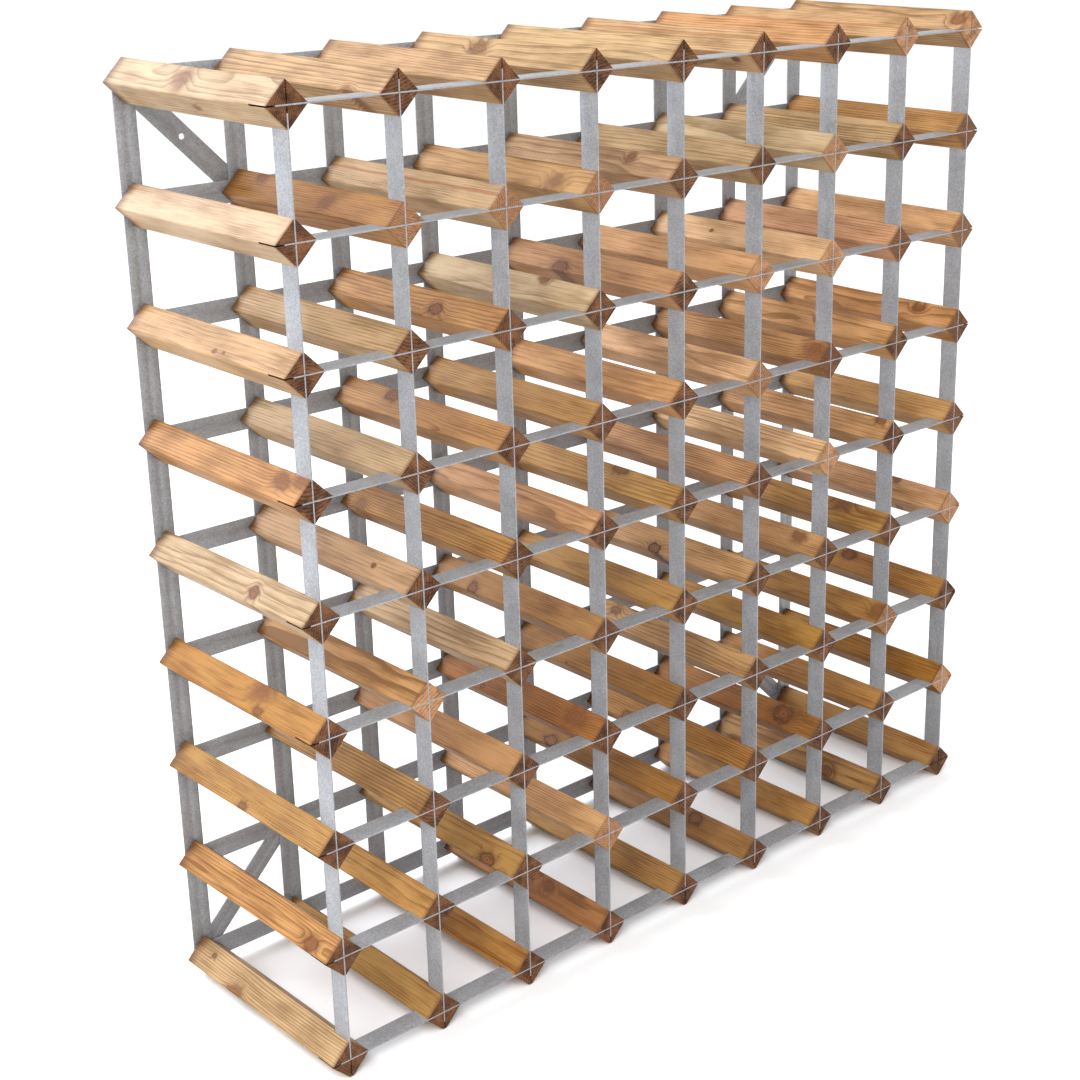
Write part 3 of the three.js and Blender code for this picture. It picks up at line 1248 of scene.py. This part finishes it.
    def dress(self, piece: bpy.types.Object, rng: random.Random) -> None:
        """Give the bar the traits that its finish reads.

        Args:
            piece: The bar.
            rng: The bar's own random numbers.
        """
        turn = rng.uniform(0, math.tau)
        away = rng.uniform(14, 60) * MM
        contrast = rng.uniform(0.35, 1.0)
        width = rng.uniform(1.5, 3.0) * MM
        marks = self.marks
        piece["log_seed"] = rng.uniform(0, 90)
        piece["pith"] = [away * math.cos(turn), 0.0, away * math.sin(turn)]
        piece["ring_width"] = marks.ring_width * MM or width
        piece["ring_contrast"] = contrast if marks.ring_contrast is None else marks.ring_contrast
        piece["bar_length"] = self.length
        piece["hue"] = 0.5 + rng.uniform(-0.006, 0.006)
        piece["saturation"] = rng.uniform(0.95, 1.05)
        piece["lightness"] = rng.uniform(0.95, 1.06)
        piece["end_wear"] = marks.end_wear
        piece["streak_side"] = list(Side.UPPER_LEFT.across)
        piece["streak_place"] = marks.streak_across * MM
        piece["streak_strength"] = marks.streak
        piece["dents"] = marks.dents
        knots = list(marks.knots) + [Knot(-1000.0, 0.0, 0.0)] * 2
        for letter, knot in zip("ab", knots):
            piece[f"knot_{letter}_place"] = list(knot.place(self.half_side))
            piece[f"knot_{letter}_axis"] = list(knot.axis())
            piece[f"knot_{letter}_radius"] = knot.radius * MM
            piece[f"knot_{letter}_bark"] = knot.bark


@dataclass
class Bars:
    """All the bars of the rack."""

    grid: Grid
    # Tone letters row by row from the top; they run darker towards the bottom rows, partly the wood's own
    # colour and partly painted shade
    tones: tuple[str, ...] = (
        "crrrrrtrr",
        "cbrtrrcrt",
        "rrtcthshs",
        "trtthsthh",
        "crbhttsht",
        "btrbbttbh",
        "bbtuutbbb",
        "ttbhububu",
        "rbbubutbb",
    )

    def build(self) -> None:
        """Make every bar."""
        grid = self.grid
        sides = {tone.name[0].lower(): PineFaces(tone).build() for tone in Tone}
        ends = PineEnds().build()
        length = grid.rail_layer[0] - 0.3 * MM - grid.front
        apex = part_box("bar_c1_r1")[1].z - grid.z(1)
        foot_reach = grid.z(ROWS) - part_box(f"bar_c1_r{ROWS}")[0].z
        for column in range(1, COLUMNS + 1):
            for row in range(1, ROWS + 1):
                reach = foot_reach if row == ROWS else apex
                bar = Bar(column, row, apex, reach, length, MARKS.get((column, row), Marks()))
                rng = random.Random(100 * column + row)
                tone = sides[self.tones[row - 1][column - 1]]
                piece = add_piece(bar.name, bar.mesh(rng), [tone, ends])
                piece.location = (grid.x(column), grid.front, grid.z(row))
                bar.dress(piece, rng)
                settle(piece, packed_node(f"bar_c{column}_r{row}", column))


# --- Studio ---
@dataclass
class Studio:
    """A pale floor and soft light."""

    floor_size: float = 60.0
    floor_colour: Colour = (0.87, 0.87, 0.87)
    sky: float = 1.15
    key_place: Vector = field(default_factory=lambda: Vector((-1.55, 3.0, 2.65)))
    key_size: float = 2.2
    key_power: float = 180.0
    key_colour: Colour = (0.93, 0.98, 1.10)
    fill_place: Vector = field(default_factory=lambda: Vector((-2.0, -1.7, 2.3)))
    fill_size: float = 1.6
    fill_power: float = 70.0

    def floor(self) -> None:
        """Lay the floor."""
        work = bmesh.new()
        bmesh.ops.create_grid(work, x_segments=8, y_segments=8, size=self.floor_size / 2)
        mesh = bpy.data.meshes.new("studio_floor")
        work.to_mesh(mesh)
        work.free()
        finish = Finish("studio_floor")
        finish.dress(Base_Color=self.floor_colour, Roughness=0.9, Specular_IOR_Level=0.0)
        floor = add_piece("studio_floor", mesh, [finish.material])

    @staticmethod
    def lamp(name: str, place: Vector, size: float, power: float, colour: Colour) -> None:
        """Hang a soft square light and point it at the rack.

        Args:
            name: The light's name.
            place: Where it hangs.
            size: Its side.
            power: Its power in watts.
            colour: Its colour.
        """
        light = bpy.data.lights.new(name, "AREA")
        light.shape = "SQUARE"
        light.size = size
        light.energy = power
        light.color = colour
        lamp = bpy.data.objects.new(name, light)
        lamp.location = place
        lamp.visible_camera = False
        low, high = CAD_BOX
        centre = (Vector(low) + Vector(high)) / 2
        lamp.rotation_euler = (place - centre).to_track_quat("Z", "Y").to_euler()
        bpy.context.scene.collection.objects.link(lamp)

    def build(self) -> None:
        """Set up the floor, the lights and the surroundings."""
        self.floor()
        self.lamp("key_light", self.key_place, self.key_size, self.key_power, self.key_colour)
        self.lamp("fill_light", self.fill_place, self.fill_size, self.fill_power, WHITE)
        world = bpy.data.worlds.new("studio")
        world.use_nodes = True
        background = world.node_tree.nodes["Background"]
        background.inputs["Color"].default_value = (*WHITE, 1.0)
        background.inputs["Strength"].default_value = self.sky
        bpy.context.scene.world = world
        bpy.context.scene.view_settings.view_transform = "Standard"


@dataclass
class View:
    """The main camera."""

    place: Vector = field(default_factory=lambda: Vector((-1.1436, -1.2693, 0.9661)))
    azimuth: float = -43.364
    elevation: float = 18.651
    roll: float = -0.546
    lens: float = 63.56
    shift: Point = (-0.0926, -0.0406)

    def build(self) -> None:
        """Set up the camera."""
        turn = math.radians(self.azimuth)
        lift = math.radians(self.elevation)
        back = Vector((
            math.sin(turn) * math.cos(lift),
            -math.cos(turn) * math.cos(lift),
            math.sin(lift),
        ))
        level = Vector((0, 0, 1)).cross(back).normalized()
        roll = Matrix.Rotation(math.radians(self.roll), 3, back)
        right = roll @ level
        up = back.cross(right)
        camera = bpy.data.objects.new("camera", bpy.data.cameras.new("camera"))
        camera.data.lens = self.lens
        camera.data.sensor_width = 36.0
        camera.data.shift_x, camera.data.shift_y = self.shift
        camera.data.clip_end = 200.0
        turned = Matrix((right, up, back)).transposed().to_4x4()
        camera.matrix_world = Matrix.Translation(self.place) @ turned
        bpy.context.scene.collection.objects.link(camera)
        bpy.context.scene.camera = camera


# --- The whole rack ---
def main() -> None:
    """Build the studio and the rack."""
    logging.basicConfig(level=logging.INFO, format="%(message)s")
    grid = Grid.measured()
    View().build()
    Studio().build()
    strip_steel = Galvanised().build()
    nail_steel = Galvanised("galvanised_nail", (0.55, 0.55, 0.55), 0.35).build()
    Bars(grid).build()
    FrontStrips(grid, strip_steel).build()
    RearStrips(grid, strip_steel).build()
    Nails(grid, nail_steel).build()


if __name__ == "__main__":
    main()
